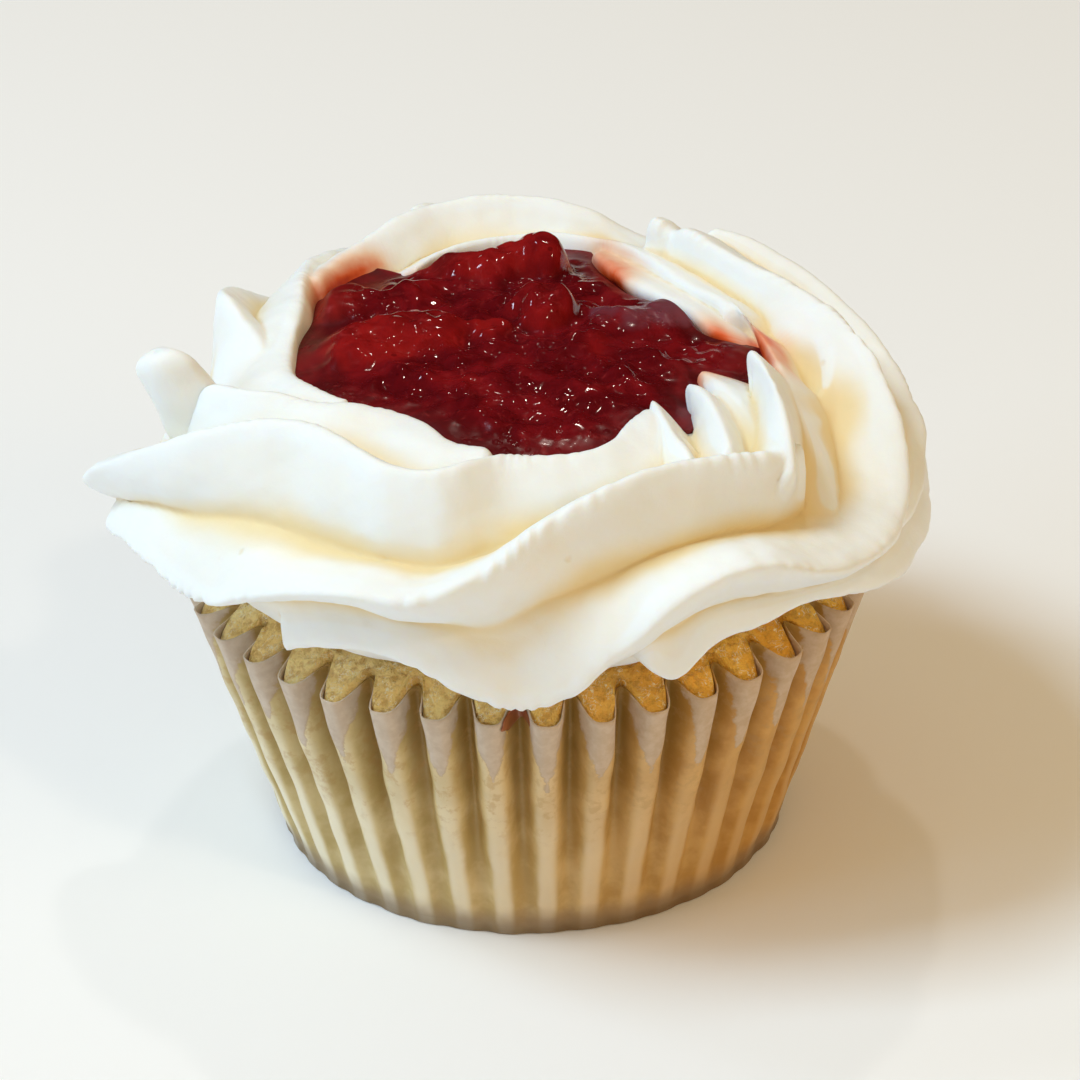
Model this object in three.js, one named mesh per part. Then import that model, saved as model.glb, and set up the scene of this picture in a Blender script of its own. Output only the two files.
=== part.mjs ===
// Cupcake in a fluted paper case, topped with a piped ring of whipped cream round a heap of jam.
// Millimetres, +Z up. The origin is the middle of the flat base on which the case stands.
// An azimuth is 0 at the front (-Y) and grows towards +X. Every angle is in degrees.

import * as THREE from 'three';

// Paper case
const BASE_RADIUS = 25.6;
const FOOT_ROUND = 1.1;
const RIM_HEIGHT = 29.7;
const RIM_RADIUS = 33.0;
const FLUTES = 40;
const FLUTE_DEPTH = 4.0;
const FIRST_FLUTE = 2.4;
const PAPER = 0.6;

// Cake: a nearly flat crown with a round shoulder, and sides that follow the flutes
const CAKE_GAP = 0.5;
const CAKE_EDGE = 28.5;
const CROWN_FOOT = 29.2;
const CROWN_RISE = 5.0;
const CROWN_RADIUS = 34;
const CROWN_POWER = 7;
const CROWN_STEPS = [0.96, 0.88, 0.7];

// Cream: folds on a ring, whose round core runs at RING_RADIUS and RING_HEIGHT
const RING_RADIUS = 30;
const RING_HEIGHT = 41;
const FOLD_SCALE = 12;
const CREAM_AROUND = 144;
const CREAM_ROWS = 26;
const LOWEST_ROW = -100;
const WELL_ROW = 158;
const WELL_FLOOR = 45;
const TOUCH_GAP = 0.5;

// Jam: a heap in the well of the ring, with pieces of fruit that stand out of it
const JAM_AROUND = 72;
const JAM_RINGS = [0.14, 0.29, 0.44, 0.59, 0.73, 0.86, 1];
const JAM_EDGE = 51.6;
const JAM_MOUND = 1.5;
const JAM_GAP = 0.5;
const JAM_FOOT = 0.8;

// Thickness of the cream's core, from the underside over the top and down into the well:
// angle round the section (0 outward, 90 up, 180 inward) and distance from the ring's centre line
const CORE = [
  [-110, 10.4], [-80, 9.0], [-45, 6.6], [-10, 6.6], [30, 7.0],
  [60, 8.0], [90, 9.2], [120, 10.0], [150, 9.6], [180, 9.8],
];

// Way that a whole fold climbs, from the foot outside to the top: radius and height
const CLIMB = [[38, 33], [40.4, 35.6], [40.9, 40], [39, 45.4], [35.6, 50.4], [31.4, 54.2]];

// Folds that run round the ring. along: azimuth, radius and height of points on the crest.
// low and high: half width below and above the crest. hollow: how hollow the flanks are.
// start and end: azimuth over which the fold comes out of the core and goes back into it.
const RUNNING_FOLDS = [
  {
    name: 'left finger and lip of the well',
    along: [
      [-104, 36, 44], [-95, 38.6, 48.6], [-86, 35.8, 52.2], [-77, 32.8, 54.2], [-67, 29.8, 54.5],
      [-57, 25.2, 53.7], [-48, 21.6, 53.4], [-38, 19.4, 53.2], [-28, 20, 53.1], [-18, 22.2, 52.9],
      [-6, 22.7, 52.5],
    ],
    low: 9, high: 6, hollow: 1.3, start: 7, end: 5,
  },
  {
    name: 'upper front fold',
    along: [
      [-100, 40.5, 37], [-90, 44.4, 38.4], [-81, 42.5, 43.5], [-72, 39.9, 47.6], [-64, 36.2, 51.2],
      [-56, 32.8, 53.8], [-45, 29.8, 55], [-34, 30, 55], [-23, 31.6, 54.4], [-14, 31, 54.4],
      [-5, 26.8, 54.2], [6, 26.1, 53.8], [16, 25.6, 53.7], [27, 21.9, 53.6], [37, 20.1, 53.4],
    ],
    low: 12, high: 8, hollow: 1.5, start: 5, end: 2,
  },
  {
    name: 'middle front fold',
    along: [
      [-100, 38.5, 38], [-92, 41.3, 33.6], [-80, 41.4, 36], [-69, 41, 38.6], [-60, 40, 37.6],
      [-51, 39.6, 38], [-42, 40.2, 41.4], [-34, 40.6, 44], [-24, 40.8, 45.8], [-14, 40.6, 46.3],
      [-6, 38.8, 48.7], [2, 35.7, 51.6], [12, 33.6, 53.6], [24, 32.4, 54.3], [36, 33.4, 53.9],
      [44, 34.5, 52.9], [52, 34.2, 52.6],
    ],
    low: 12, high: 8, hollow: 1.5, start: 6, end: 4,
  },
  {
    name: 'lower front fold, up the right side',
    along: [
      [-41, 36, 34], [-33, 36.6, 36.6], [-25, 37.2, 37.7], [-17, 37.6, 37], [-9, 37.6, 34.6],
      [-1, 37.6, 32.9], [6, 38.1, 34.8], [12, 39.2, 39.2], [18, 40.3, 43.6], [26, 40.8, 46.4],
      [33, 41.4, 46.5], [41, 42.6, 44], [50, 42.8, 42.4], [60, 42.4, 43.2], [68, 41, 45.8],
      [76, 37, 50.2], [86, 33.2, 53.8], [98, 28.7, 55], [110, 25, 55.7], [128, 23.8, 56],
      [146, 24, 56],
    ],
    low: 13, high: 9, hollow: 1.4, start: 2, end: 2,
  },
  {
    name: 'lowest right fold, over the back',
    along: [
      [16, 36.5, 36.3], [21, 37.1, 34.2], [28, 37.6, 37.4], [35, 38.2, 38], [42, 38.9, 38.9],
      [50, 39.4, 37.6], [60, 40, 35.6], [75, 40.2, 35], [90, 40.4, 35.4], [104, 40.6, 38],
      [118, 40.2, 42], [134, 37, 47.5], [150, 33.5, 51.5], [164, 30.8, 53.8], [185, 29.5, 55.2],
      [207, 29.4, 54.4], [220, 28, 53.6], [233, 25.6, 53.6],
    ],
    low: 12, high: 9, hollow: 1.2, start: 2, end: 5,
  },
  {
    name: 'outer right fold',
    along: [
      [60, 40.5, 40], [70, 41.4, 42], [82, 40.4, 45], [95, 37.8, 48.4], [108, 35.2, 51.4],
      [122, 31.8, 53.6], [136, 29, 54.6], [146, 27, 54.6],
    ],
    low: 9, high: 8, hollow: 1.2, start: 8, end: 8,
  },
  {
    name: 'first back fold',
    along: climb(108, 205),
    low: 9, high: 8, hollow: 1.2, start: 8, end: 8,
  },
  {
    name: 'second back fold, down into the well on the left',
    along: [
      ...climb(158, 220), [229, 28.2, 53.9], [237, 25, 54.4], [250, 23, 54], [262, 23.2, 53.8],
      [274, 24.9, 53],
    ],
    low: 9, high: 7, hollow: 1.2, start: 8, end: 3,
  },
  {
    name: 'third back fold, with the corner on the left',
    along: [...climb(178, 254), [264, 28.4, 54.2], [275, 26, 53.6], [288, 25.2, 52.2]],
    low: 10, high: 8, hollow: 1.2, start: 6, end: 3,
  },
  {
    name: 'back fold under the finger',
    along: climb(205, 284),
    low: 9, high: 7, hollow: 1.2, start: 8, end: 8,
  },
  {
    name: 'lip of the well at the back right',
    along: [
      [106, 21.4, 53.6], [114, 19.4, 54], [124, 18.9, 54], [135, 19.1, 54.2], [146, 20.6, 54.3],
      [157, 23, 54],
    ],
    low: 4, high: 5, hollow: 1.2, start: 3, end: 3,
  },
];

// Short folds that run straight into the well, with points from the outside inwards.
// side: half width to each side. start and end: length over which the fold comes and goes.
const CROSSING_FOLDS = [
  {
    name: 'tall tooth on the right',
    along: [[44, 36, 51.6], [47, 33.6, 54.2], [52, 30.5, 55.4], [59, 27, 55.7], [67, 23.8, 55.5]],
    side: 4.5, hollow: 1.1, start: 3, end: 1.5,
  },
  {
    name: 'first small tooth',
    along: [[30, 30.5, 53.6], [31, 27, 54.1], [34, 23.2, 54.1], [37, 20.2, 54]],
    side: 3, hollow: 1, start: 2, end: 1,
  },
  {
    name: 'second small tooth',
    along: [[38, 31, 53.4], [42, 27.5, 54.2], [47, 23.8, 54.4], [54, 19.3, 54]],
    side: 3.4, hollow: 1, start: 2, end: 1,
  },
  {
    name: 'soft ridge inside the right band',
    along: [
      [48, 38.5, 46], [53, 34, 49], [61, 28.8, 51.4], [76, 24.6, 52.8], [89, 22.4, 53.5],
      [103, 21.4, 53.8],
    ],
    side: 6, hollow: 1.3, start: 3, end: 2,
  },
];

// Pieces of fruit in the jam: place, size across and along, turn, and height above the heap
const FRUIT = [
  { at: [-12.8, 1.6], size: [6.4, 8.6], turn: 20, rise: 2.6 },
  { at: [1.4, 3.6], size: [4.6, 6.4], turn: -10, rise: 2.4 },
  { at: [3.4, 18.4], size: [4.4, 4.4], turn: 0, rise: 4.2 },
  { at: [-18.6, 10.6], size: [3.2, 3.0], turn: 0, rise: 1.6 },
  { at: [-7.5, 15.5], size: [5.5, 3.4], turn: 30, rise: 1.5 },
  { at: [11.6, 3.0], size: [7.5, 5.0], turn: 15, rise: 1.3 },
  { at: [8.0, -9.5], size: [5.0, 4.0], turn: 40, rise: 1.0 },
  { at: [-5.0, -12.5], size: [5.5, 3.6], turn: -20, rise: 0.9 },
];

const radians = THREE.MathUtils.degToRad;
const degrees = THREE.MathUtils.radToDeg;
const smooth = THREE.MathUtils.smoothstep;
const clamp = THREE.MathUtils.clamp;

// Stations of a fold that climbs the whole way between two azimuths
function climb(from, to) {
  const last = CLIMB.length - 1;
  return CLIMB.map(([radius, height], i) => [from + ((to - from) * i) / last, radius, height]);
}

// Smooth curve through points (x, y) with x growing, held level beyond both ends
function curveThrough(xs, ys) {
  const last = xs.length - 1;
  const rise = (i) => (ys[i + 1] - ys[i]) / (xs[i + 1] - xs[i]);
  const slope = xs.map((x, i) => {
    if (i === 0) return rise(0);
    if (i === last) return rise(last - 1);
    const before = x - xs[i - 1];
    const after = xs[i + 1] - x;
    return (rise(i - 1) * after + rise(i) * before) / (before + after);
  });
  return (wanted) => {
    const x = clamp(wanted, xs[0], xs[last]);
    let i = 0;
    while (i < last - 1 && x > xs[i + 1]) i += 1;
    const width = xs[i + 1] - xs[i];
    const t = (x - xs[i]) / width;
    return (1 + 2 * t) * (1 - t) ** 2 * ys[i]
      + t * (1 - t) ** 2 * width * slope[i]
      + t * t * (3 - 2 * t) * ys[i + 1]
      + t * t * (t - 1) * width * slope[i + 1];
  };
}

const coreThickness = curveThrough(CORE.map((p) => p[0]), CORE.map((p) => p[1]));

// A fold's crest in ring coordinates: azimuth, angle round the section, distance from the centre line
function crestOf(along) {
  const azimuth = along.map((p) => p[0]);
  const angle = along.map(([, r, z]) => degrees(Math.atan2(z - RING_HEIGHT, r - RING_RADIUS)));
  const reach = along.map(([, r, z]) => Math.hypot(z - RING_HEIGHT, r - RING_RADIUS));
  return { azimuth, angle, reach };
}

// Running folds give the crest's angle and reach for an azimuth
const running = RUNNING_FOLDS.map((fold) => {
  const { azimuth, angle, reach } = crestOf(fold.along);
  return {
    ...fold,
    from: azimuth[0],
    to: azimuth[azimuth.length - 1],
    angleAt: curveThrough(azimuth, angle),
    reachAt: curveThrough(azimuth, reach),
  };
});

// Crossing folds give the crest's azimuth and reach for an angle round the section
const crossing = CROSSING_FOLDS.map((fold) => {
  const { azimuth, angle, reach } = crestOf(fold.along);
  return {
    ...fold,
    from: angle[0],
    to: angle[angle.length - 1],
    azimuthAt: curveThrough(angle, azimuth),
    reachAt: curveThrough(angle, reach),
  };
});

// Height of a blade with a round crest: 1 on the crest, 0 at its half width
function blade(across, hollow) {
  const round = 0.12;
  const ramp = (Math.hypot(across, round) - round) / (Math.hypot(1, round) - round);
  return Math.max(1 - ramp, 0) ** hollow;
}

// Widening of a fold that runs askew over the ring, so that it stays equally thick
function askew(slope, limit) {
  return Math.hypot(1, clamp(slope, -limit, limit));
}

// Each azimuth at which a running fold passes, counted in whole turns too
function passes(fold, azimuth) {
  return [azimuth - 360, azimuth, azimuth + 360].filter((a) => a >= fold.from && a <= fold.to);
}

function runningHeight(fold, azimuth, angle) {
  const crest = fold.angleAt(azimuth);
  const look = 10;
  const slope = (fold.angleAt(azimuth + look) - fold.angleAt(azimuth - look)) / (2 * look);
  const ringAt = RING_RADIUS + FOLD_SCALE * Math.cos(radians(crest));
  const off = radians(angle - crest) * FOLD_SCALE;
  const half = (off < 0 ? fold.low : fold.high) * askew((slope * FOLD_SCALE) / ringAt, 1.2);
  const shown = smooth(azimuth, fold.from, fold.from + fold.start)
    * (1 - smooth(azimuth, fold.to - fold.end, fold.to));
  return (fold.reachAt(azimuth) - coreThickness(crest)) * shown * blade(off / half, fold.hollow);
}

function crossingHeight(fold, azimuth, angle) {
  const start = degrees(fold.start / FOLD_SCALE);
  const end = degrees(fold.end / FOLD_SCALE);
  const ringAt = RING_RADIUS + FOLD_SCALE * Math.cos(radians(angle));
  const look = 0.5;
  const slope = (fold.azimuthAt(angle + look) - fold.azimuthAt(angle - look)) / (2 * look);
  const turn = THREE.MathUtils.euclideanModulo(azimuth - fold.azimuthAt(angle) + 180, 360) - 180;
  const half = fold.side * askew((slope * ringAt) / FOLD_SCALE, 1);
  const shown = smooth(angle, fold.from - start, fold.from) * (1 - smooth(angle, fold.to, fold.to + end));
  const across = (radians(turn) * ringAt) / half;
  return (fold.reachAt(angle) - coreThickness(angle)) * shown * blade(across, fold.hollow);
}

// Distance of the cream's surface from the ring's centre line: the core and its highest fold there
function creamThickness(azimuth, angle) {
  const heights = [0];
  for (const fold of running) {
    for (const a of passes(fold, azimuth)) heights.push(runningHeight(fold, a, angle));
  }
  for (const fold of crossing) heights.push(crossingHeight(fold, azimuth, angle));
  return coreThickness(angle) + Math.max(...heights);
}

// Radius and height of the cream's surface
function creamSection(azimuth, angle) {
  const reach = creamThickness(azimuth, angle);
  return {
    radius: RING_RADIUS + reach * Math.cos(radians(angle)),
    height: RING_HEIGHT + reach * Math.sin(radians(angle)),
  };
}

function place(azimuth, radius, height) {
  const a = radians(azimuth);
  return [radius * Math.sin(a), -radius * Math.cos(a), height];
}

// Closed surface of rows that run all the way round, between a first and a last point.
// Each four-sided cell is split along its shorter diagonal.
function closedRows(first, rows, last) {
  const around = rows[0].length;
  const points = [first, ...rows.flat(), last];
  const at = (row, k) => 1 + row * around + (k % around);
  const apart = (a, b) => Math.hypot(...points[a].map((value, i) => value - points[b][i]));
  const end = points.length - 1;
  const faces = [];
  for (let k = 0; k < around; k += 1) {
    faces.push(0, at(0, k + 1), at(0, k));
    for (let row = 0; row + 1 < rows.length; row += 1) {
      const [a, b, c, d] = [at(row, k), at(row, k + 1), at(row + 1, k + 1), at(row + 1, k)];
      if (apart(a, c) < apart(b, d)) faces.push(a, b, c, a, c, d);
      else faces.push(a, b, d, b, c, d);
    }
    faces.push(at(rows.length - 1, k), at(rows.length - 1, k + 1), end);
  }
  const geometry = new THREE.BufferGeometry();
  geometry.setAttribute('position', new THREE.Float32BufferAttribute(points.flat(), 3));
  geometry.setIndex(faces);
  geometry.computeVertexNormals();
  return geometry;
}

// Four corners to a flute: two on the outward fold and two on the inward one
const fluteCorners = [];
for (let flute = 0; flute < FLUTES; flute += 1) {
  const pitch = 360 / FLUTES;
  for (const [turn, out] of [[-0.2, 1], [0.2, 1], [0.38, -1], [0.62, -1]]) {
    fluteCorners.push({ azimuth: FIRST_FLUTE + (flute + turn) * pitch, out });
  }
}

// Ring of the case at a height: the cone of its wall, with flutes that deepen towards the rim
function fluted(height, inset) {
  const up = height / RIM_HEIGHT;
  const middle = BASE_RADIUS + (RIM_RADIUS - BASE_RADIUS) * up;
  const depth = FLUTE_DEPTH * Math.sqrt(up);
  return fluteCorners.map(({ azimuth, out }) => place(azimuth, middle + (depth / 2) * out - inset, height));
}

function scaled(row, factor, height) {
  return row.map(([x, y]) => [x * factor, y * factor, height]);
}

function paperCase() {
  const foot = scaled(fluted(0, FOOT_ROUND), 1, 0);
  const outside = [foot, fluted(FOOT_ROUND, 0), fluted(RIM_HEIGHT, 0)];
  const inside = [fluted(RIM_HEIGHT, PAPER), scaled(fluted(FOOT_ROUND, PAPER), 1, PAPER)];
  return closedRows([0, 0, 0], [...outside, ...inside], [0, 0, PAPER]);
}

// Height of the cake's crown at a radius
function crown(radius) {
  return CROWN_FOOT + CROWN_RISE * (1 - (radius / CROWN_RADIUS) ** CROWN_POWER);
}

function cake() {
  const inset = PAPER + CAKE_GAP;
  const floor = PAPER + CAKE_GAP;
  const bottom = scaled(fluted(FOOT_ROUND, inset), 1, floor);
  const edge = scaled(fluted(CAKE_EDGE, inset), 1, CAKE_EDGE);
  const middle = edge.reduce((sum, [x, y]) => sum + Math.hypot(x, y), 0) / edge.length;
  const top = CROWN_STEPS.map((step) => edge.map(([x, y]) => {
    const radius = Math.hypot(x, y);
    const eased = step * (middle + (radius - middle) * step ** 6);
    const factor = eased / radius;
    return [x * factor, y * factor, crown(eased)];
  }));
  return closedRows([0, 0, floor], [bottom, edge, ...top], [0, 0, crown(0)]);
}

const creamAzimuths = Array.from({ length: CREAM_AROUND }, (_, k) => (k * 360) / CREAM_AROUND);

// Angle at which the cream's surface comes down to the cake
function footAngle(azimuth) {
  let angle = -20;
  const above = () => {
    const { radius, height } = creamSection(azimuth, angle);
    return height - crown(radius) - TOUCH_GAP;
  };
  while (angle > LOWEST_ROW && above() > 0) angle -= 0.5;
  return angle;
}

// Angles of the rows at an azimuth, the nearest of them moved onto each crest
function rowAngles(azimuth) {
  const foot = footAngle(azimuth);
  const step = (WELL_ROW - foot) / (CREAM_ROWS - 1);
  const rows = Array.from({ length: CREAM_ROWS }, (_, i) => foot + i * step);
  for (const fold of running) {
    for (const a of passes(fold, azimuth)) {
      const nearest = Math.round((fold.angleAt(a) - foot) / step);
      if (nearest > 0 && nearest < CREAM_ROWS - 1) rows[nearest] = fold.angleAt(a);
    }
  }
  return rows;
}

function cream() {
  const columns = creamAzimuths.map((azimuth) => {
    const surface = rowAngles(azimuth).map((angle) => creamSection(azimuth, angle));
    const foot = surface[0];
    foot.height = crown(foot.radius) + TOUCH_GAP;
    const under = [0.7, 0.88].map((part) => {
      const radius = foot.radius * part;
      return { radius, height: crown(radius) + TOUCH_GAP };
    });
    const wall = surface[surface.length - 1];
    const floor = [0.9, 0.5].map((part) => ({ radius: wall.radius * part, height: WELL_FLOOR }));
    return [...under, ...surface, ...floor].map(({ radius, height }) => place(azimuth, radius, height));
  });
  const rows = columns[0].map((_, i) => columns.map((column) => column[i]));
  return closedRows([0, 0, crown(0) + TOUCH_GAP], rows, [0, 0, WELL_FLOOR]);
}

// Radius at which the well's wall comes up to the edge of the jam
function wellRadius(azimuth) {
  let angle = WELL_ROW;
  while (angle > 80 && creamSection(azimuth, angle).height < JAM_EDGE) angle -= 1;
  let radius = RING_RADIUS;
  for (let below = angle; below <= WELL_ROW; below += 4) {
    radius = Math.min(radius, creamSection(azimuth, below).radius);
  }
  return radius;
}

// Rise of the fruit at a place: a rounded block with a flat-topped, steep-sided form
function fruitRise(x, y) {
  const rises = FRUIT.map(({ at, size, turn, rise }) => {
    const c = Math.cos(radians(turn));
    const s = Math.sin(radians(turn));
    const u = ((x - at[0]) * c + (y - at[1]) * s) / size[0];
    const v = ((y - at[1]) * c - (x - at[0]) * s) / size[1];
    return rise * Math.max(1 - (Math.abs(u) ** 2.6 + Math.abs(v) ** 2.6), 0) ** 0.7;
  });
  return Math.max(...rises);
}

function jam() {
  const azimuths = Array.from({ length: JAM_AROUND }, (_, k) => (k * 360) / JAM_AROUND);
  const spread = 360 / JAM_AROUND;
  const edge = azimuths.map((azimuth) => {
    const near = [-1, -0.5, 0, 0.5, 1].map((part) => wellRadius(azimuth + part * spread));
    return Math.min(...near) - JAM_GAP;
  });
  const rows = JAM_RINGS.map((part) => azimuths.map((azimuth, k) => {
    const [x, y] = place(azimuth, edge[k] * part, 0);
    const heap = JAM_MOUND * (1 - part ** 3) + fruitRise(x, y) * Math.min(1, 4 * (1 - part));
    return [x, y, JAM_EDGE + heap];
  }));
  const foot = azimuths.map((azimuth, k) => place(azimuth, edge[k] * JAM_FOOT, WELL_FLOOR + JAM_GAP));
  const top = [0, 0, JAM_EDGE + JAM_MOUND + fruitRise(0, 0)];
  return closedRows([0, 0, WELL_FLOOR + JAM_GAP], [foot, ...rows.reverse()], top);
}

function piece(name, geometry, color, roughness) {
  const mesh = new THREE.Mesh(geometry, new THREE.MeshStandardMaterial({ color, roughness, metalness: 0 }));
  mesh.name = name;
  return mesh;
}

const cupcake = new THREE.Group();
cupcake.add(
  piece('paper_case', paperCase(), 0xc9a75c, 0.6),
  piece('cake', cake(), 0xb98a3a, 0.85),
  piece('frosting', cream(), 0xf6ecd6, 0.45),
  piece('jam', jam(), 0x7a0c12, 0.12),
);

export default cupcake;
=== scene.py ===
"""Cupcake in a fluted paper case, with a piped ring of whipped cream round a heap of strawberry jam.

The CAD solids give the sizes. Every visible skin here is a finer surface on the same named sizes.
Shapes are worked out in millimetres and turned into metres when their mesh is made.
An azimuth is 0 at the front (-Y) and grows towards +X. Angles are in degrees.
"""
import math

import bpy
import numpy as np
from mathutils import Matrix, Vector


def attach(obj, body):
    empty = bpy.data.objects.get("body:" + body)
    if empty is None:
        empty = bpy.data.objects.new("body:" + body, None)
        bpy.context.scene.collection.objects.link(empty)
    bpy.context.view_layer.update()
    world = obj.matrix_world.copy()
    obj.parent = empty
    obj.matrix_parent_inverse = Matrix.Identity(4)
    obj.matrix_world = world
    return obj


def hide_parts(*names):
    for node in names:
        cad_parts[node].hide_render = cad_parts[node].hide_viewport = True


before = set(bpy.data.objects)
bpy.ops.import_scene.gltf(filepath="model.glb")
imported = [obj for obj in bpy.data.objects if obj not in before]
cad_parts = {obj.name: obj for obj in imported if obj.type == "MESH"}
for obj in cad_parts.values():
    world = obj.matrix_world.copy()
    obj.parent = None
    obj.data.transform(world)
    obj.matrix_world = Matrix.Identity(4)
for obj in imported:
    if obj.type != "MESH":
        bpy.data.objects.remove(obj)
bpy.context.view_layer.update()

MM = 0.001

# Paper case
BASE_RADIUS = 25.6
FOOT_ROUND = 1.1
RIM_HEIGHT = 29.7
RIM_RADIUS = 33.0
FLUTES = 40
FLUTE_DEPTH = 4.0
FIRST_FLUTE = 2.4
FLUTE_RISE = 0.95
RIM_POINTS = 1.2
PAPER = 0.14
FLUTE_POINTS = 18
WALL_ROWS = 56

# Cake: its crown, and the crust that shows round the edge, as shares of the crust's radius
CROWN_FOOT = 29.2
CROWN_RISE = 5.0
CROWN_RADIUS = 34
CROWN_POWER = 7
CRUST_EDGE = 28.6
CRUST_SKIRT = 4
CRUST_INNER = 0.72
CRUST_SHOULDER = 0.024
CRUST_ROWS = 96

# Cream: folds on a ring, whose round core runs at RING_RADIUS and RING_HEIGHT. Its rows start
# where it sinks into the cake, at LOWEST_ROW at the latest, and end in the well at WELL_ROW. The
# jam in the well reaches out to WELL_LIMIT at most.
RING_RADIUS = 30
RING_HEIGHT = 41
FOLD_SCALE = 12
CREAM_AROUND = 640
CREAM_ROWS = 152
LUMPS_PER_DEGREE = 0.31
CREST_ROUND = 0.5
EVEN_FLANK = 6
LUMP_REACH = 0.75
DENT_LIMIT = 4
LOWEST_ROW = -100
WELL_ROW = 158
WELL_FLOOR = 45
WELL_LIMIT = 24.6
SINK = 0.35

# Jam: a low dome, with the heap's forms on it drawn together by HEAP_BLEND
JAM_EDGE = 51.6
JAM_SIDE = 3.0
JAM_MOUND = 1.5
MOUND_RADIUS = 21
HEAP_DROP = 3.6
HEAP_SQUARE = 2.6
HEAP_POWER = 1.35
HEAP_BLEND = 2.4
JAM_AROUND = 420
JAM_RINGS = 170

# How far the jam reaches into the well's wall, the crust and its skirt lie inside the paper, and
# the smear stands off it
JAM_INTO_WALL = 0.5
CRUST_INSIDE = 0.3
SKIRT_INSIDE = 0.6
SMEAR_OFF = 0.05

# Unrest of the surfaces, in layers: height, size and seed
CREAM_UNREST = ((0.13, 9, 21), (0.035, 2.6, 22))
FINGER_UNREST = ((0.10, 5, 61),)
JAM_UNREST = ((0.26, 6, 31), (0.18, 2.8, 32), (0.04, 1.4, 33))
JAM_BEND_X = ((0.9, 8, 34),)
JAM_BEND_Y = ((0.9, 8, 35),)
CRUST_GRAIN = ((0.13, 2.2, 41), (0.11, 0.9, 42), (0.20, 7, 43))
PAPER_UNREST = ((0.10, 6, 51),)
RIM_SWAY = ((0.25, 16, 52),)

# Camera, as it stood for the photograph: it turns about a point EYE_HEIGHT_FROM over the floor,
# which the lamps face too
EYE_DISTANCE = 450
EYE_ELEVATION = 29.35
EYE_HEIGHT_FROM = 30
AIM = (1.3, 0.0, 30.1)
EYE_ROLL = 1.25
LENS = 149.5

# Light: each lamp's place and size in metres, power in watts, colour, and whether gloss mirrors it
ROOM_COLOUR = (1.0, 0.71, 0.36, 1)
ROOM_STRENGTH = 0.42
LAMPS = {
    "window": ((-0.48, -0.14, 0.86), 0.30, 5.8, (0.66, 0.86, 1.0), False),
    "sky on the left": ((-0.80, -0.30, 0.40), 0.40, 1.8, (0.46, 0.73, 1.0), False),
    "room on the right": ((0.62, -0.50, 0.50), 0.40, 1.35, (1.0, 0.72, 0.38), False),
    "lamp": ((0.30, -0.50, 0.75), 0.05, 0.6, (1.0, 0.84, 0.62), True),
    "spark": ((0.03, 0.30, 0.72), 0.03, 0.35, (1.0, 0.93, 0.82), True),
    "glint": ((-0.45, 0.10, 0.55), 0.06, 0.25, (0.72, 0.80, 1.0), True),
}

# Thickness of the cream's core: angle round the section (0 outward, 90 up, 180 inward) and
# distance from the ring's centre line
CORE = [
    (-110, 9.2), (-80, 7.8), (-45, 6.4), (-10, 6.5), (15, 6.1), (40, 5.3), (60, 5.0),
    (78, 5.8), (95, 7.8), (115, 9.7), (135, 9.9), (150, 9.6), (180, 9.8),
]

# Way that a whole fold climbs, from the foot outside to the top: radius and height
CLIMB = [(38, 33), (40.4, 35.6), (40.9, 40), (39, 45.4), (35.6, 50.4), (31.4, 54.2)]


def climb(start, end, below, above):
    """Stations of a fold that climbs the whole way between two azimuths, at equal steps."""
    step = (end - start) / (len(CLIMB) - 1)
    return [(start + step * i, r, z, below, above) for i, (r, z) in enumerate(CLIMB)]


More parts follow.
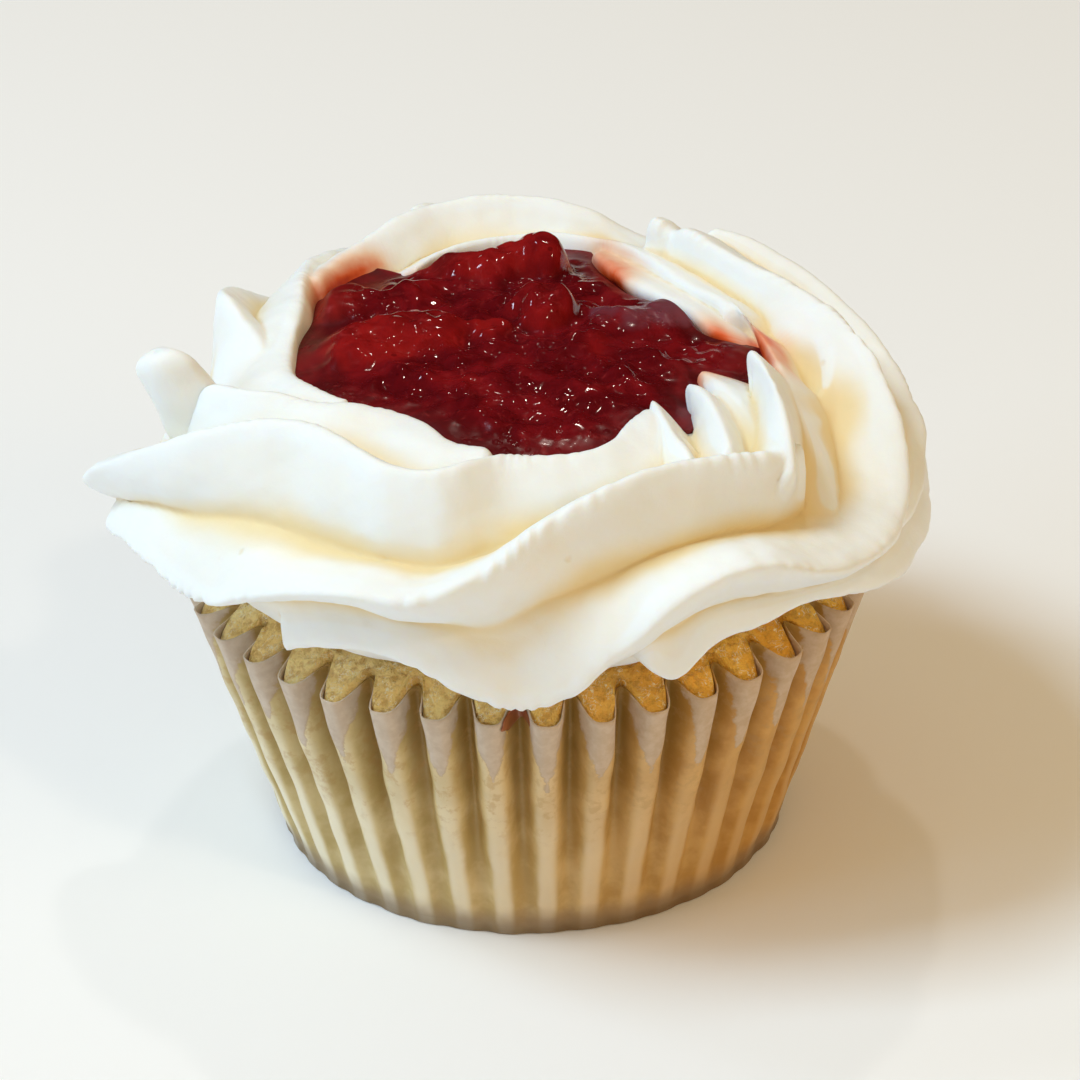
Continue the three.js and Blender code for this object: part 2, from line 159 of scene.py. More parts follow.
# Folds that run round the ring. Each has points on its crest: azimuth, radius, height, and half
# width below and above. Then come the hollowness of the flank below and above at EVEN_FLANK wide,
# the azimuth to come and to go, and the depth of the notches on the crest.
RUNNING_FOLDS = {
    "lip of the well on the left": (
        [(-87, 33.4, 46.4, 6, 5), (-81, 32.8, 49.8, 7, 5), (-75, 31.4, 52.4, 8, 5),
         (-67, 29.4, 53.9, 8, 5), (-57, 25.2, 53.7, 7, 5),
         (-48, 21.6, 53.4, 7, 4), (-38, 19.4, 53.2, 7, 4), (-28, 20, 53.1, 7, 4),
         (-18, 22.2, 52.9, 6, 4), (-6, 22.7, 52.5, 5, 4)],
        1.3, 1.3, 6, 4, 0.12),
    "upper front fold": (
        [(-97, 41.6, 33.2, 5, 3), (-91, 43.9, 37.4, 6, 3.2), (-85, 43.4, 40.8, 6, 4),
         (-79, 42, 44.2, 6, 5), (-72, 39.9, 47.6, 6, 7), (-64, 36.2, 51.2, 7, 7),
         (-56, 32.8, 53.8, 7, 6), (-45, 29.8, 55, 7, 5), (-34, 30, 55, 7, 5),
         (-23, 31.6, 54.4, 8, 6), (-14, 31, 54.4, 10, 6), (-5, 26.8, 54.2, 12, 5), (6, 26.1, 53.8, 12, 4),
         (16, 25.6, 53.7, 11, 4), (27, 21.9, 53.6, 10, 4), (37, 20.1, 53.4, 9, 4)],
        0.9, 1.3, 5, 2, 0.16),
    "middle front fold": (
        [(-95, 38.8, 34.6, 3, 9), (-89, 41.4, 33.8, 3, 10), (-80, 41.4, 36, 3, 11),
         (-69, 41, 38.6, 3, 11), (-60, 40, 37.6, 3, 11), (-51, 39.6, 38, 3, 12),
         (-42, 40.2, 41.4, 2.6, 12), (-34, 40.6, 44, 2.8, 12), (-24, 40.8, 45.8, 3.4, 12),
         (-14, 40.6, 46.3, 4.6, 11), (-6, 38.8, 48.7, 7, 8), (2, 35.7, 51.6, 7, 6),
         (12, 33.6, 53.6, 7, 5), (24, 32.4, 54.3, 7, 5), (36, 33.4, 53.9, 7, 5),
         (44, 34.5, 52.9, 7, 5), (51, 34.2, 52.4, 6, 5)],
        1.2, 1.4, 3, 3, 0.50),
    "lower front fold, up the right side": (
        [(-41, 36, 34, 3, 5), (-33, 36.6, 36.6, 3, 5), (-25, 37.2, 37.7, 3, 5),
         (-17, 37.6, 37, 3, 6), (-9, 37.6, 34.6, 3, 7), (-1, 37.6, 32.9, 3, 9),
         (6, 38.1, 34.8, 4, 11), (12, 39.2, 39.2, 5, 12), (18, 40.3, 43.6, 6, 12),
         (26, 40.8, 46.4, 6, 12), (33, 41.4, 46.5, 6, 12), (41, 42.4, 44, 5, 11),
         (50, 42.3, 42.6, 5, 11), (60, 41.4, 43.4, 6, 10), (68, 39.6, 46, 8, 9),
         (76, 36.8, 49.4, 10, 8), (86, 33.6, 52.7, 12, 8), (98, 29.4, 54.4, 12, 7),
         (110, 25.6, 55.4, 12, 6), (124, 24.0, 55.8, 12, 6), (137, 23.9, 56, 12, 6),
         (140.4, 24.2, 55.2, 12, 6), (143, 24.1, 56, 12, 6), (148, 24.2, 56, 12, 6)],
        1.2, 1.3, 2, 2, 0.26),
    "lowest right fold, over the back": (
        [(16, 36.5, 36.3, 3, 6), (21, 37.1, 34.2, 3, 6), (28, 37.6, 37.4, 3, 6),
         (35, 38.2, 38, 3, 6), (42, 38.9, 38.9, 3, 6), (50, 39.4, 37.6, 3, 6),
         (60, 40, 35.6, 4, 6), (75, 40.2, 35, 5, 7), (90, 40.2, 35.6, 6, 7), (104, 40, 38.6, 7, 7),
         (118, 39, 42, 8, 8), (134, 36.4, 45.6, 9, 8), (146, 34, 48, 9, 8),
         (156, 30.6, 50.4, 9, 7), (165, 29.4, 53, 10, 7), (177, 30, 54.2, 10, 7),
         (188, 30.2, 54.3, 10, 7), (198, 29.8, 54.2, 10, 7), (208, 28.4, 54, 10, 7),
         (219, 26.8, 53.2, 10, 7), (230, 25.4, 53.2, 9, 6), (240, 24.2, 53.4, 8, 5)],
        1.2, 1.2, 2, 5, 0.10),
    "outer right fold": (
        [(60, 39.4, 39, 8, 6), (70, 40.3, 41.2, 8, 6), (82, 39.6, 44, 8, 6), (95, 37.2, 47, 8, 6),
         (108, 34.6, 50, 8, 6), (120, 32.2, 52.2, 8, 6), (130, 30, 54, 8, 6),
         (139, 28, 54.8, 8, 6)],
        1.4, 1.2, 8, 4, 0.10),
    "first back fold": (climb(108, 205, 9, 7), 1.4, 1.2, 8, 8, 0.12),
    "second back fold, down into the well on the left": (
        [(158, 38, 33, 9, 7), (170, 40, 35.6, 9, 7), (182, 40.3, 39.6, 9, 7), (194, 38.4, 44, 9, 7),
         (206, 35.2, 47.8, 9, 7), (217, 32, 50.6, 9, 7), (226, 29.8, 52, 9, 6),
         (234, 27, 53.2, 8, 5), (242, 24.8, 53.8, 8, 4), (252, 23, 53.6, 8, 4),
         (262, 22.5, 53, 7, 4), (271, 22.6, 52.5, 6, 4), (280, 22.9, 52.3, 5, 3.5),
         (289, 22.6, 52.5, 4, 3), (298, 21.7, 52.8, 3.5, 3), (308, 20.4, 52.8, 3, 3)],
        1.5, 1.3, 8, 3, 0.10),
    "third back fold, with the corner on the left": (
        [(178, 37.6, 33, 9, 7), (193, 39.4, 36, 9, 7), (208, 38.8, 40, 9, 7), (222, 36.8, 44, 9, 7),
         (234, 34.8, 48.6, 9, 6), (243, 33.6, 51.6, 8, 5), (250, 32, 53.2, 7, 5),
         (258, 28.6, 53, 7, 5), (266, 26, 52.4, 6, 4), (276, 24.8, 51, 5, 4), (285, 25, 49.6, 4, 4)],
        1.8, 1.5, 6, 3, 0.10),
    "back fold under the finger": (
        [(212, 37, 33, 7, 6), (228, 38, 34, 6, 6), (244, 37.4, 35.2, 5, 6), (260, 37.6, 36.4, 5, 6),
         (272, 38.2, 37, 5, 6)],
        1.3, 1.2, 8, 6, 0.12),
    "inner lip round the back": (
        [(98, 20.8, 53.2, 3, 4), (106, 20.6, 53.4, 3, 4), (114, 19.4, 53.6, 3, 4),
         (124, 19.0, 53.6, 3, 4), (135, 19.4, 53.8, 3, 4), (146, 20.8, 53.7, 3, 4),
         (155, 22.6, 53.2, 2.6, 4), (163, 24.2, 52.6, 2.2, 4), (171, 24.7, 52.5, 2, 4),
         (180, 24.3, 52.5, 2, 4), (190, 23.2, 52.5, 2, 4), (200, 21.9, 52.6, 2, 4),
         (209, 20.2, 52.7, 2, 4), (216, 19.2, 52.4, 2, 4)],
        1.2, 1.0, 4, 4, 0.08),
    "shelf inside the lip at the back right": (
        [(88, 19.6, 52.4, 3, 3), (98, 18.2, 52.5, 3, 3), (110, 17.0, 52.7, 3.4, 3),
         (122, 16, 52.8, 3.8, 3), (134, 15.6, 52.8, 4, 3), (145, 16.8, 52.8, 4, 3),
         (154, 18.8, 52.6, 3.6, 3), (162, 21.6, 52.4, 3, 3)],
        1.1, 1.0, 8, 5, 0.06),
}

# Short folds that run straight into the well, points from the outside inwards: half width to
# each side, hollowness, length to come and to go
CROSSING_FOLDS = {
    "tall tooth on the right": (
        [(44, 36, 51.6), (47, 33.6, 54.2), (52, 30.5, 55.4), (59, 27, 55.7), (67, 23.8, 55.5)],
        4.4, 1.2, 3, 1.2),
    "first small tooth": (
        [(30, 30.5, 53.6), (31, 27, 54.1), (34, 23.2, 54.1), (37, 20.2, 54)], 2.8, 1, 2, 1),
    "second small tooth": (
        [(38, 31, 53.4), (42, 27.5, 54.1), (47, 23.8, 54.2), (53, 19.8, 53.5)], 3.6, 1, 2, 1.6),
    "ledge between the teeth": (
        [(48, 30, 51.6), (54, 26, 52.7), (60, 22, 53.0), (66, 18.8, 52.6)], 5.4, 1, 2, 2),
    "soft ridge inside the right band": (
        [(52, 37, 44.2), (58, 34, 47), (63, 30.6, 49.6), (69, 27.4, 51.8), (76, 25.4, 52.9),
         (86, 23.4, 53.2), (95, 22.2, 53.4), (104, 21.4, 53.6)],
        6, 1.5, 3, 2),
}

# Soft swells of the whole ring, and dents where the rise is negative: azimuth, angle round the
# section, half width of each, and rise
SWELLS = {
    "wall of the well on the right": (78, 145, 32, 45, 2.6),
    "wall of the well at the front right": (38, 150, 26, 40, 1.6),
    "wall of the well on the left": (-88, 150, 24, 40, 1.2),
    "top under the back": (180, 75, 75, 40, 2.4),
    "dent beside the corner on the left": (251, 10, 20, 55, -4.0),
    "dent behind the left finger": (268, 60, 12, 40, -1.5),
    "hollow under the lip on the left": (-29, 118, 10, 16, -2.4),
    "valley behind the middle crest": (3, 90, 24, 14, -2.0),
    "dent inside the right band": (84, 104, 10, 16, -2.0),
    "dent further round the right band": (114, 122, 9, 14, -2.0),
}

# Finger of cream that stands up on the left: middle of its foot and of its tip, half width and
# half thickness at the foot and near the tip, azimuth that it faces, and squareness of its end
FINGER_FOOT = (-30.2, -4.6, 43.0)
FINGER_TIP = (-35.4, -6.4, 55.4)
FINGER_HALF_WIDTH = (3.9, 3.2)
FINGER_HALF_THICKNESS = (2.2, 1.3)
FINGER_FACE = -20
FINGER_END = 2.4
FINGER_GRID = (72, 60)

# Forms of the jam's heap: place, half sizes, turn, height of the top, rise of the top to the
# right and to the back, brightness of its red, and strength of a painted greyish sheen that also
# dulls the gloss
HEAP = {
    "big slab on the left": ((-11.8, -0.9), (8.6, 6.4), 8, 54.2, (0.0, 0.22), 1.0, 0.0),
    "shoulder behind the slab": ((-13.5, 9.0), (7.0, 4.4), 12, 53.4, (0.05, 0.05), 0.35, 0.3),
    "mound at the back": ((-4.4, 15.2), (8.0, 4.4), 8, 54.4, (0.12, 0.10), 0.65, 0.1),
    "peak at the back": ((1.5, 16.0), (3.1, 3.6), -10, 55.7, (0.18, 0.0), 0.9, 0.0),
    "block in the middle": ((1.7, 4.6), (3.6, 4.6), -8, 55.3, (0.0, 0.14), 0.55, 0.3),
    "lump at the back left": ((-17.4, 10.4), (4.2, 4.2), 20, 53.5, (0.0, 0.06), 0.9, 0.0),
    "plateau on the right": ((11.4, 2.8), (7.4, 6.4), 10, 54.0, (-0.03, 0.10), 0.15, 1.0),
    "swell in front": ((-1.0, -10.6), (10.5, 7.6), -8, 52.9, (0.0, 0.05), 0.15, 0.0),
    "lump in front on the right": ((8.4, -10.2), (5.4, 4.6), 35, 53.1, (0.0, 0.10), 0.3, 0.0),
    "lump in front on the left": ((-6.6, -9.6), (4.0, 3.4), 10, 53.1, (0.0, 0.10), 0.4, 0.0),
    "berry in the middle": ((-3.8, 1.2), (2.8, 3.0), 30, 54.2, (0.0, 0.10), 0.8, 0.0),
    "berry on the right": ((6.6, -2.4), (3.0, 2.6), 0, 53.9, (0.0, 0.10), 0.5, 0.0),
}

# Stretches of the well's wall that juice has coloured: azimuth, half width, reach up the wall
JUICE = [(230, 30, 3.6), (148, 24, 4.6), (86, 28, 4.4), (70, 14, 3.0)]

# Smear of jam on the rim: azimuth, height, half width in degrees, half height and thickness
SMEAR = (-2.6, 29.0, 2.3, 1.0, 0.20)
SMEAR_GRID = (64, 14)


def smooth(x, low, high):
    """0 below low, 1 above high, and an S of cubic form between."""
    t = np.clip((x - low) / (high - low), 0, 1)
    return t * t * (3 - 2 * t)


def curve_through(xs, ys):
    """A smooth curve through points: cubic pieces whose slope at a point is the mean of its
    neighbours' rises, each weighted with the other's width. It is held level beyond both ends."""
    xs, ys = np.asarray(xs, float), np.asarray(ys, float)
    width = np.diff(xs)
    rise = np.diff(ys) / width
    slope = np.empty_like(ys)
    slope[0], slope[-1] = rise[0], rise[-1]
    slope[1:-1] = (rise[:-1] * width[1:] + rise[1:] * width[:-1]) / (width[:-1] + width[1:])

    def curve(wanted):
        x = np.clip(wanted, xs[0], xs[-1])
        i = np.clip(np.searchsorted(xs, x) - 1, 0, len(xs) - 2)
        h = width[i]
        t = (x - xs[i]) / h
        return (
            (1 + 2 * t) * (1 - t) ** 2 * ys[i]
            + t * (1 - t) ** 2 * h * slope[i]
            + t * t * (3 - 2 * t) * ys[i + 1]
            + t * t * (t - 1) * h * slope[i + 1]
        )

    return curve


def waves(points, size, seed, count=24):
    """An even unrest of about the given size: the mean of plane sine waves whose directions,
    lengths and phases are drawn from a seed, scaled to about -1 to 1."""
    draw = np.random.default_rng(seed)
    way = draw.normal(size=(count, 3))
    way /= np.linalg.norm(way, axis=1, keepdims=True)
    way *= 2 * np.pi / size * draw.uniform(0.6, 1.5, (count, 1))
    phase = draw.uniform(0, 2 * np.pi, count)
    total = np.zeros(points.shape[:-1])
    for direction, start in zip(way, phase):
        total += np.sin(points @ direction + start)
    return total / math.sqrt(count)


def unrest(points, layers):
    """The sum of even unrests: each layer gives its height, size and seed."""
    return sum(height * waves(points, size, seed) for height, size, seed in layers)


def evened(values, *steps):
    """Values round a ring, each drawn towards the mean of its neighbours a step away."""
    for step in steps:
        values = (np.roll(values, step, 0) + 2 * values + np.roll(values, -step, 0)) / 4
    return values


def place(azimuth, radius, height):
    """Points of a turned surface, from arrays of azimuth, radius and height."""
    a = np.radians(azimuth)
    return np.stack([radius * np.sin(a), -radius * np.cos(a), height + 0 * a], -1)


def unit(vectors):
    """The vectors' directions, each brought to a length of 1."""
    return vectors / np.maximum(np.linalg.norm(vectors, axis=-1, keepdims=True), 1e-9)


def grid_normals(points):
    """Outward directions of a grid closed along its first axis: across times along."""
    along = np.roll(points, -1, 0) - np.roll(points, 1, 0)
    across = np.gradient(points, axis=1)
    return unit(np.cross(along, across))


def closed_mesh(name, points, first, last, values=None):
    """Puts a grid into a mesh. The grid is closed along its first axis, and its first and last
    column of the second axis are drawn together to the points first and last.
    values holds one number a vertex under each name, kept as attributes of the mesh."""
    around, rows = points.shape[:2]
    corners = points.reshape(-1, 3)
    k, row = np.meshgrid(np.arange(around), np.arange(rows - 1), indexing="ij")
    here, there = k * rows + row, ((k + 1) % around) * rows + row
    quads = np.stack([here, there, there + 1, here + 1], -1).reshape(-1, 4)
    k = np.arange(around)
    start, end = k * rows, k * rows + rows - 1
    tip = np.full(around, len(corners))
    first_cap = np.stack([tip, np.roll(start, -1), start], -1)
    last_cap = np.stack([end, np.roll(end, -1), tip + 1], -1)
    corners = np.vstack([corners, first, last])
    mesh = bpy.data.meshes.new(name)
    faces = quads.tolist() + first_cap.tolist() + last_cap.tolist()
    mesh.from_pydata((corners * MM).tolist(), [], faces)
    mesh.polygons.foreach_set("use_smooth", np.ones(len(mesh.polygons), bool))
    for label, field in (values or {}).items():
        column = np.zeros(len(corners), np.float32)
        column[: field.size] = field.ravel()
        mesh.attributes.new(label, "FLOAT", "POINT").data.foreach_set("value", column)
    mesh.update()
    piece = bpy.data.objects.new(name, mesh)
    bpy.context.scene.collection.objects.link(piece)
    return piece


# Cream

core_thickness = curve_through(*zip(*CORE))


def crest_of(along):
    """A crest in ring coordinates: azimuth, angle round the section, distance from the centre line."""
    azimuth, radius, height = np.array(along, float).T[:3]
    out, up = radius - RING_RADIUS, height - RING_HEIGHT
    return azimuth, np.degrees(np.arctan2(up, out)), np.hypot(out, up)


def blade(off, half, hollow):
    """A blade with a round crest: 1 on the crest, 0 at its half width, with hollow flanks."""
    ramp = (np.hypot(off, CREST_ROUND) - CREST_ROUND) / (np.hypot(half, CREST_ROUND) - CREST_ROUND)
    return np.clip(1 - ramp, 0, 1) ** hollow


def cut_end(t):
    """0 before a fold's end and 1 past it, along a quarter of a circle."""
    t = np.clip(t, 0, 1)
    return np.sqrt(t * (2 - t))


def askew(slope, limit):
    """Widening of a fold that runs askew over the ring, so that it stays equally thick."""
    return np.hypot(1, np.clip(slope, -limit, limit))


def running_height(fold, azimuth, angle):
    """Height of a running fold above the core: the crest's reach times a blade across the ring.
    Round lumps with notches between them sit on the very crest."""
    along, hollow_below, hollow_above, start, end, notches = fold
    stations, angles, reaches = crest_of(along)
    angle_at, reach_at = curve_through(stations, angles), curve_through(stations, reaches)
    below_at, above_at = (curve_through(stations, [point[k] for point in along]) for k in (3, 4))
    crest = angle_at(azimuth)
    look = 10
    slope = (angle_at(azimuth + look) - angle_at(azimuth - look)) / (2 * look)
    ring_at = RING_RADIUS + FOLD_SCALE * np.cos(np.radians(crest))
    wider = askew(slope * FOLD_SCALE / ring_at, 1.2)
    off = np.radians(angle - crest) * FOLD_SCALE / wider
    half = np.where(off < 0, below_at(azimuth), above_at(azimuth))
    hollow = np.where(off < 0, hollow_below, hollow_above) * half / EVEN_FLANK
    first, final = stations[0], stations[-1]
    shown = cut_end((azimuth - first) / start) * cut_end((final - azimuth) / end)
    form = blade(off, half, np.maximum(hollow, 1))
    # The lumps' spacing and strength drift along the crest, so that no two are alike
    drift = 2.2 * np.sin(azimuth * 0.21) + 1.3 * np.sin(azimuth * 0.47 + 1)
    lumps = np.abs(np.sin(azimuth * LUMPS_PER_DEGREE * np.pi + drift))
    strength = 0.55 + 0.45 * np.sin(azimuth * 0.13 + 2)
    on_crest = np.exp(-(off / LUMP_REACH) ** 2)
    reach = reach_at(azimuth) - core_thickness(crest)
    return (reach * form - notches * strength * (1 - lumps) * on_crest) * shown


def crossing_height(fold, azimuth, angle):
    """Height of a crossing fold above the core: the same blade, laid along the section."""
    along, side, hollow, start, end = fold
    stations, angles, reaches = crest_of(along)
    azimuth_at, reach_at = curve_through(angles, stations), curve_through(angles, reaches)
    start, end = math.degrees(start / FOLD_SCALE), math.degrees(end / FOLD_SCALE)
    ring_at = RING_RADIUS + FOLD_SCALE * np.cos(np.radians(angle))
    look = 0.5
    slope = (azimuth_at(angle + look) - azimuth_at(angle - look)) / (2 * look)
    turn = (azimuth - azimuth_at(angle) + 180) % 360 - 180
    off = np.radians(turn) * ring_at / askew(slope * ring_at / FOLD_SCALE, 1)
    first, final = angles[0], angles[-1]
    shown = smooth(angle, first - start, first) * cut_end((final + end - angle) / end)
    reach = reach_at(angle) - core_thickness(angle)
    return reach * shown * blade(off, side, hollow)


def swell(azimuth, angle):
    """Rise of the core by the named swells and dents, each a smooth bell of both angles."""
    rise = np.zeros_like(angle)
    for at_azimuth, at_angle, half_azimuth, half_angle, height in SWELLS.values():
        turn = (azimuth - at_azimuth + 180) % 360 - 180
        far = np.hypot(turn / half_azimuth, (angle - at_angle) / half_angle)
        rise += height * (1 - smooth(far, 0, 1))
    return rise


def cream_thickness(azimuth, angle):
    """Distance of the surface from the ring's centre line: the core and the highest fold there. A
    dent lowers what is low, and leaves a fold higher than DENT_LIMIT alone."""
    height = np.zeros_like(angle)
    for fold in RUNNING_FOLDS.values():
        first, final = fold[0][0][0], fold[0][-1][0]
        for turn in (-360, 0, 360):
            on = (azimuth + turn >= first) & (azimuth + turn <= final)
            if on.any():
                found = running_height(fold, azimuth[on] + turn, angle[on])
                height[on] = np.maximum(height[on], found)
    for fold in CROSSING_FOLDS.values():
        height = np.maximum(height, crossing_height(fold, azimuth, angle))
    rise = swell(azimuth, angle)
    height = np.maximum(height, rise)
    dented = height + np.minimum(rise, 0) * (1 - smooth(height, 0, DENT_LIMIT))
    return core_thickness(angle) + dented


def cream_section(azimuth, angle):
    """Radius and height of the cream's surface."""
    reach = cream_thickness(azimuth, angle)
    a = np.radians(angle)
    return RING_RADIUS + reach * np.cos(a), RING_HEIGHT + reach * np.sin(a)


def crown(radius):
    """Height of the cake's crown: flat in the middle, with a round shoulder."""
    return CROWN_FOOT + CROWN_RISE * (1 - (radius / CROWN_RADIUS) ** CROWN_POWER)


def first_angle(azimuths, angles, test):
    """For each azimuth, the first of the angles at which the test on radius and height holds."""
    azimuth, angle = np.meshgrid(azimuths, angles, indexing="ij")
    radius, height = cream_section(azimuth, angle)
    hit = test(radius, height)
    hit[:, -1] = True
    return angles[hit.argmax(1)]


def juice_at(azimuths, points):
    """How far juice has run up the wall: 1 at the jam's edge, fading within the stretch's reach.
    The distance is the shortest to the edge's points at the nearby azimuths."""
    edge = place(azimuths, well_edge(azimuths), JAM_EDGE)
    far = np.full(points.shape[:2], 99.0)
    for turn in range(-20, 21, 2):
        far = np.minimum(far, np.linalg.norm(points - np.roll(edge, turn, 0)[:, None], axis=-1))
    stain = np.zeros_like(far)
    for middle, half, reach in JUICE:
        aside = np.abs((azimuths - middle + 180) % 360 - 180)[:, None]
        stain = np.maximum(stain, np.clip(1 - far / reach, 0, 1) * (1 - smooth(aside, 0, half)))
    return stain


def blurred(points, step):
    """A grid of points drawn towards the mean of those a step away, along and across."""
    rows = np.arange(points.shape[1])
    before, after = np.maximum(rows - step, 0), np.minimum(rows + step, rows[-1])
    along = evened(points, step)
    return (along[:, before] + 2 * along + along[:, after]) / 4


def cavity_of(points, *steps):
    """How far the blurred surroundings stand above the surface: positive in a hollow, negative
    on a crest. The steps grow, so that each blur takes in a wider ring."""
    mean = points
    for step in steps:
        mean = blurred(mean, step)
    return ((mean - points) * grid_normals(points)).sum(-1)


def rows_by_length(azimuths, feet):
    """Angles of the rows at each azimuth, equally far apart along the section. A fine section is
    measured first, and its length is then divided. Neighbours are evened out."""
    fine = feet[:, None] + (WELL_ROW - feet[:, None]) * np.linspace(0, 1, 4 * CREAM_ROWS)
    radius, height = cream_section(np.broadcast_to(azimuths[:, None], fine.shape), fine)
    steps = np.hypot(np.diff(radius, axis=1), np.diff(height, axis=1))
    length = np.pad(np.cumsum(steps, 1), ((0, 0), (1, 0)))
    length /= length[:, -1:]
    column = 2.0 * np.arange(len(azimuths))[:, None]
    wanted = np.linspace(0, 1, CREAM_ROWS) + column
    angle = np.interp(wanted.ravel(), (length + column).ravel(), fine.ravel())
    return evened(angle.reshape(wanted.shape), 1, 2, 4, 6)


def make_cream():
    """The ring: at each azimuth rows run from the foot on the cake, over the folds, into the well.
    The surface is the section's reach, with fine unrest along its own outward direction."""
    azimuths = np.arange(CREAM_AROUND) * 360 / CREAM_AROUND
    feet = first_angle(azimuths, np.arange(-20, LOWEST_ROW, -0.5),
                       lambda radius, height: height < crown(radius) - SINK)
    angle = rows_by_length(azimuths, evened(feet, 1))
    azimuth = np.broadcast_to(azimuths[:, None], angle.shape)
    points = place(azimuth, *cream_section(azimuth, angle))
    # The crease and shade fields carry the finish's painted light and shade on crests, creases and
    # hollows
    fields = {
        "crease": cavity_of(points, 1, 2, 2, 3),
        "shade": cavity_of(points, 2, 4, 6, 9, 12),
        "juice": juice_at(azimuths, points),
    }
    points += grid_normals(points) * unrest(points, CREAM_UNREST)[..., None]
    floor = points[:, -1:] * np.array([0.5, 0.5, 0]) + np.array([0, 0, WELL_FLOOR])
    foot = points[:, :1] * np.array([0.6, 0.6, 0]) + np.array([0, 0, crown(20) - SINK])
    points = np.concatenate([foot, points, floor], 1)
    fields = {name: np.pad(field, ((0, 0), (1, 1))) for name, field in fields.items()}
    return closed_mesh("whipped_cream", points, (0, 0, crown(0) - SINK), (0, 0, WELL_FLOOR), fields)


def make_finger():
    """The finger: a flattened round section carried from its foot to its tip. It narrows a
    little, bows slightly, and closes roundly at the tip."""
    around, rows = FINGER_GRID
    foot, tip = np.array(FINGER_FOOT), np.array(FINGER_TIP)
    axis = unit(tip - foot)
    face = math.radians(FINGER_FACE)
    side = unit(np.cross(axis, (math.sin(face), -math.cos(face), 0)))
    front = np.cross(side, axis)
    share = np.linspace(0, 1, rows)
    length = np.linalg.norm(tip - foot)
    round_off = 0.8 * FINGER_HALF_WIDTH[1] / length
    past = (share - 1 + round_off).clip(0) / round_off
    closing = np.clip(1 - past ** FINGER_END, 1e-4, 1) ** (1 / FINGER_END)
    width = np.interp(share, (0, 1), FINGER_HALF_WIDTH) * closing
    thick = np.interp(share, (0, 1), FINGER_HALF_THICKNESS) * closing ** 0.7
    a = (np.arange(around) * 2 * np.pi / around)[:, None]
    across = np.sign(np.cos(a)) * np.abs(np.cos(a)) ** 0.8 * width
    through = np.sign(np.sin(a)) * np.abs(np.sin(a)) ** 0.9 * thick * (1 + 0.18 * np.cos(2 * a) ** 2)
    bow = 0.5 * np.sin(np.pi * share)
    spine = foot + share[:, None] * (tip - foot)
    points = spine + (across + bow)[..., None] * side + through[..., None] * front
    points += grid_normals(points) * unrest(points, FINGER_UNREST)[..., None]
    # Fixed fields that make the finish paint the finger in the cool white of painted light
    fields = {"shade": 0 * across - 0.5, "crease": 0 * across - 0.10, "juice": 0 * across}
    return closed_mesh("cream_finger", points, foot, tip, fields)


# Jam

def well_edge(azimuths):
    """Radius at which the well's wall comes up to the edge of the jam."""
    angles = np.arange(WELL_ROW, 80, -0.5)
    found = first_angle(azimuths, angles, lambda radius, height: height > JAM_EDGE)
    radius, _ = cream_section(azimuths, found)
    return np.minimum(radius, WELL_LIMIT)


def heap_forms(x, y):
    """Heights of the heap's forms at a place: each has a sloping top, from which it drops by a
    squared-off power of the distance from its middle. The first is the low dome under them."""
    heights = [JAM_EDGE + JAM_MOUND * np.clip(1 - (np.hypot(x, y) / MOUND_RADIUS) ** 3, -1, 1)]
    tints, sheens_and_dullness = [0.0], [0.0]
    for (at_x, at_y), (half_a, half_b), turn, top, (right, back), tint, sheen_and_dullness in HEAP.values():
        c, s = math.cos(math.radians(turn)), math.sin(math.radians(turn))
        a = ((x - at_x) * c + (y - at_y) * s) / half_a
        b = ((y - at_y) * c - (x - at_x) * s) / half_b
        far = (np.abs(a) ** HEAP_SQUARE + np.abs(b) ** HEAP_SQUARE) ** HEAP_POWER
        heights.append(top + right * (x - at_x) + back * (y - at_y) - HEAP_DROP * far)
        tints.append(tint)
        sheens_and_dullness.append(sheen_and_dullness)
    return np.array(heights), np.array(tints), np.array(sheens_and_dullness)


def make_jam():
    """The gel: rings that shrink from the well's edge to the middle. Its height is the soft
    maximum of the heap's forms, with unrest that fades at the edge. The forms' places are bent a
    little, so that no outline is even."""
    azimuths = np.arange(JAM_AROUND) * 360 / JAM_AROUND
    edge = evened(well_edge(azimuths) + JAM_INTO_WALL, 1, 2, 2)
    share = np.linspace(1, 0.004, JAM_RINGS) ** 0.8
    flat = place(azimuths[:, None] + 0 * share, edge[:, None] * share, 0 * share)
    bent_x = flat[..., 0] + unrest(flat, JAM_BEND_X)
    bent_y = flat[..., 1] + unrest(flat, JAM_BEND_Y)
    heights, tints, sheens_and_dullness = heap_forms(bent_x, bent_y)
    weight = np.exp(HEAP_BLEND * (heights - heights.max(0)))
    total = weight.sum(0)
    rise = heights.max(0) + np.log(total) / HEAP_BLEND - JAM_EDGE
    inside = smooth(1 - share, 0, 0.12)
    calm = 1 - 0.75 * smooth(share, 0.72, 0.92)
    height = rise + unrest(flat, JAM_UNREST) * calm
    flat[..., 2] = JAM_EDGE - 0.3 * (1 - inside) + height * inside
    foot = flat[:, :1] * np.array([0.94, 0.94, 0]) + np.array([0, 0, JAM_EDGE - JAM_SIDE])
    points = np.concatenate([foot, flat], 1)
    fields = {
        "tint": np.tensordot(tints, weight, 1) / total,
        "sheen_and_dullness": np.tensordot(sheens_and_dullness, weight, 1) / total,
        "cavity": cavity_of(flat, 1, 2, 3, 4),
        "rim": smooth(share, 0.70, 0.92) + 0 * flat[..., 0],
    }
    fields = {name: np.pad(field, ((0, 0), (1, 0))) for name, field in fields.items()}
    middle = points[:, -1, 2].mean()
    return closed_mesh("strawberry_jam", points, (0, 0, JAM_EDGE - JAM_SIDE), (0, 0, middle), fields)


# Cake

